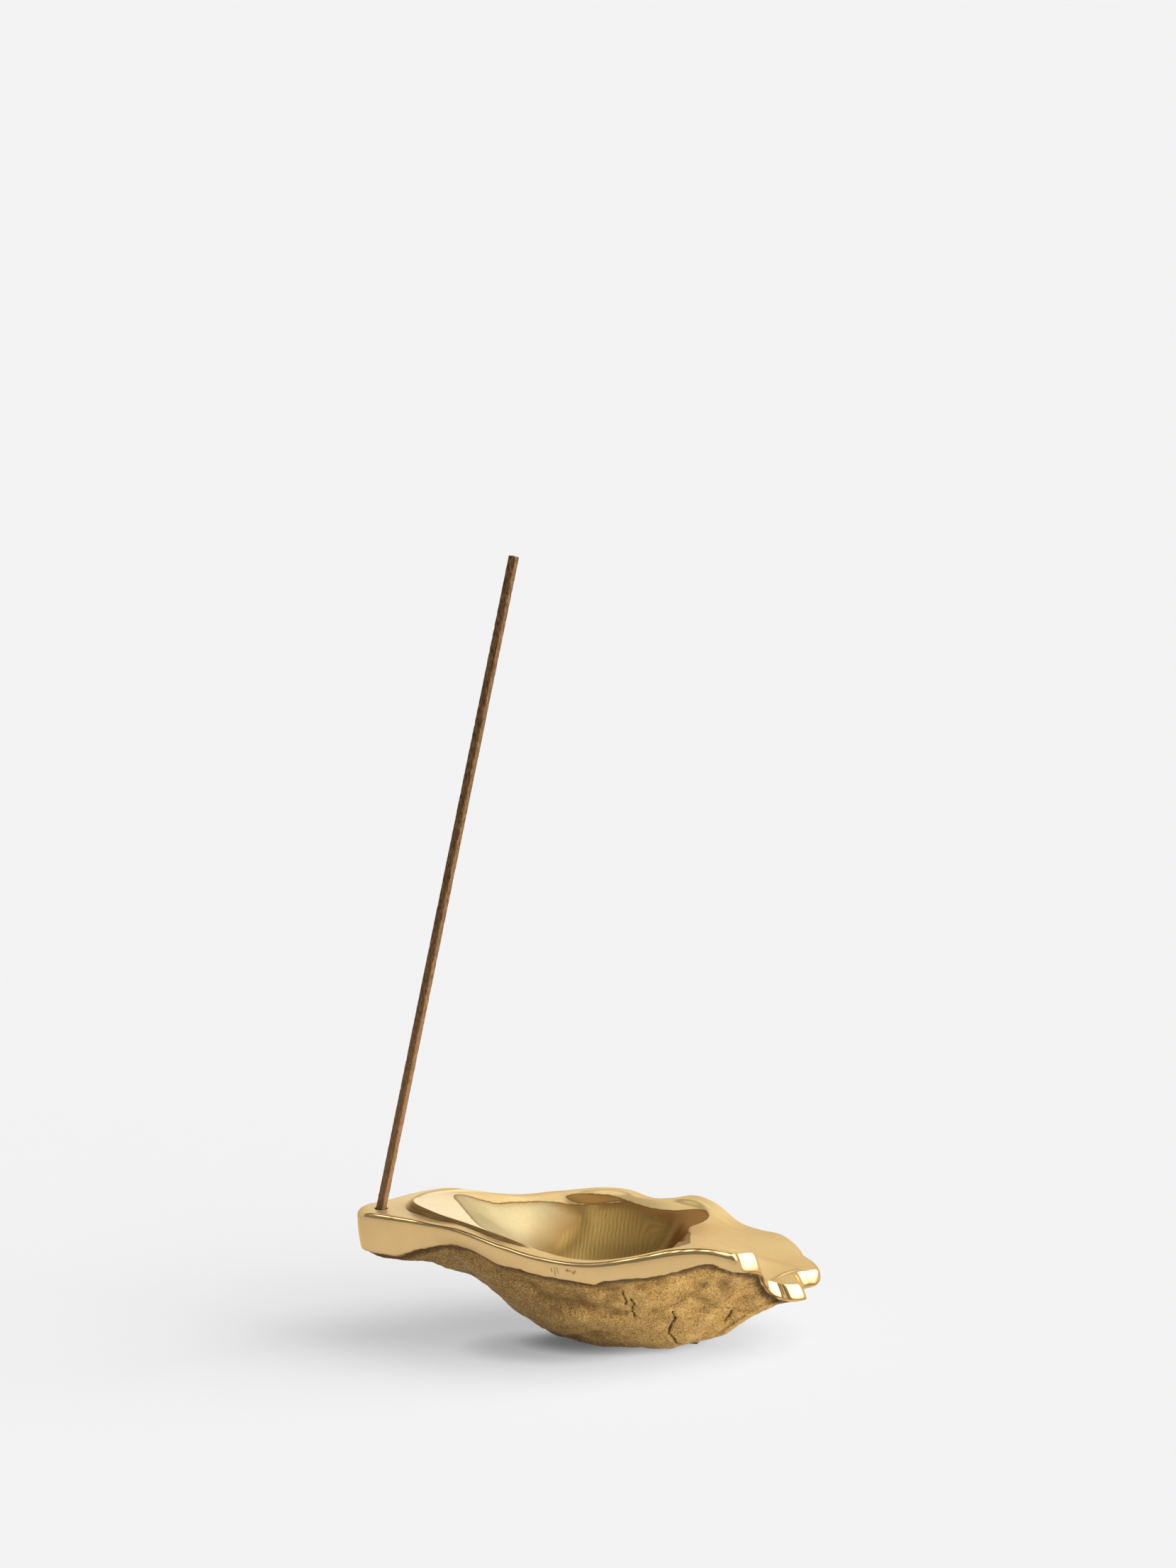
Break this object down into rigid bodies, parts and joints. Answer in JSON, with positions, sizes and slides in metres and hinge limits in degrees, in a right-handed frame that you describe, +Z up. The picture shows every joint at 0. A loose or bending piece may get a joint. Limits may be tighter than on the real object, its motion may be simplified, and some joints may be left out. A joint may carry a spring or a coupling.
{
  "type": "incense holder",
  "caption": "Cast brass oyster half shell on its cupped side, with a polished rim and bowl and a square incense stick leaning in a hole in the flat hinge end.",
  "frame": {"origin": "centre of the flat worn place under the shell that it rests on", "axes": "+Z up, +X from the raised hinge end towards the low lip, +Y towards the far side of the bowl"},
  "size_m": [0.1101, 0.0624, 0.1875],
  "materials": {
    "brass": "polished rim and deck, brushed bowl, rough cast underside",
    "incense": "matte"
  },
  "bodies": {
    "holder": {"shell": "brass"},
    "stick": {"incense_stick": "incense"}
  },
  "joints": [
    {"name": "stick_slide", "type": "slide", "parent": "holder", "child": "stick", "axis": [0.2011, 0, 0.9796], "range_m": [0, 0.0067]}
  ]
}
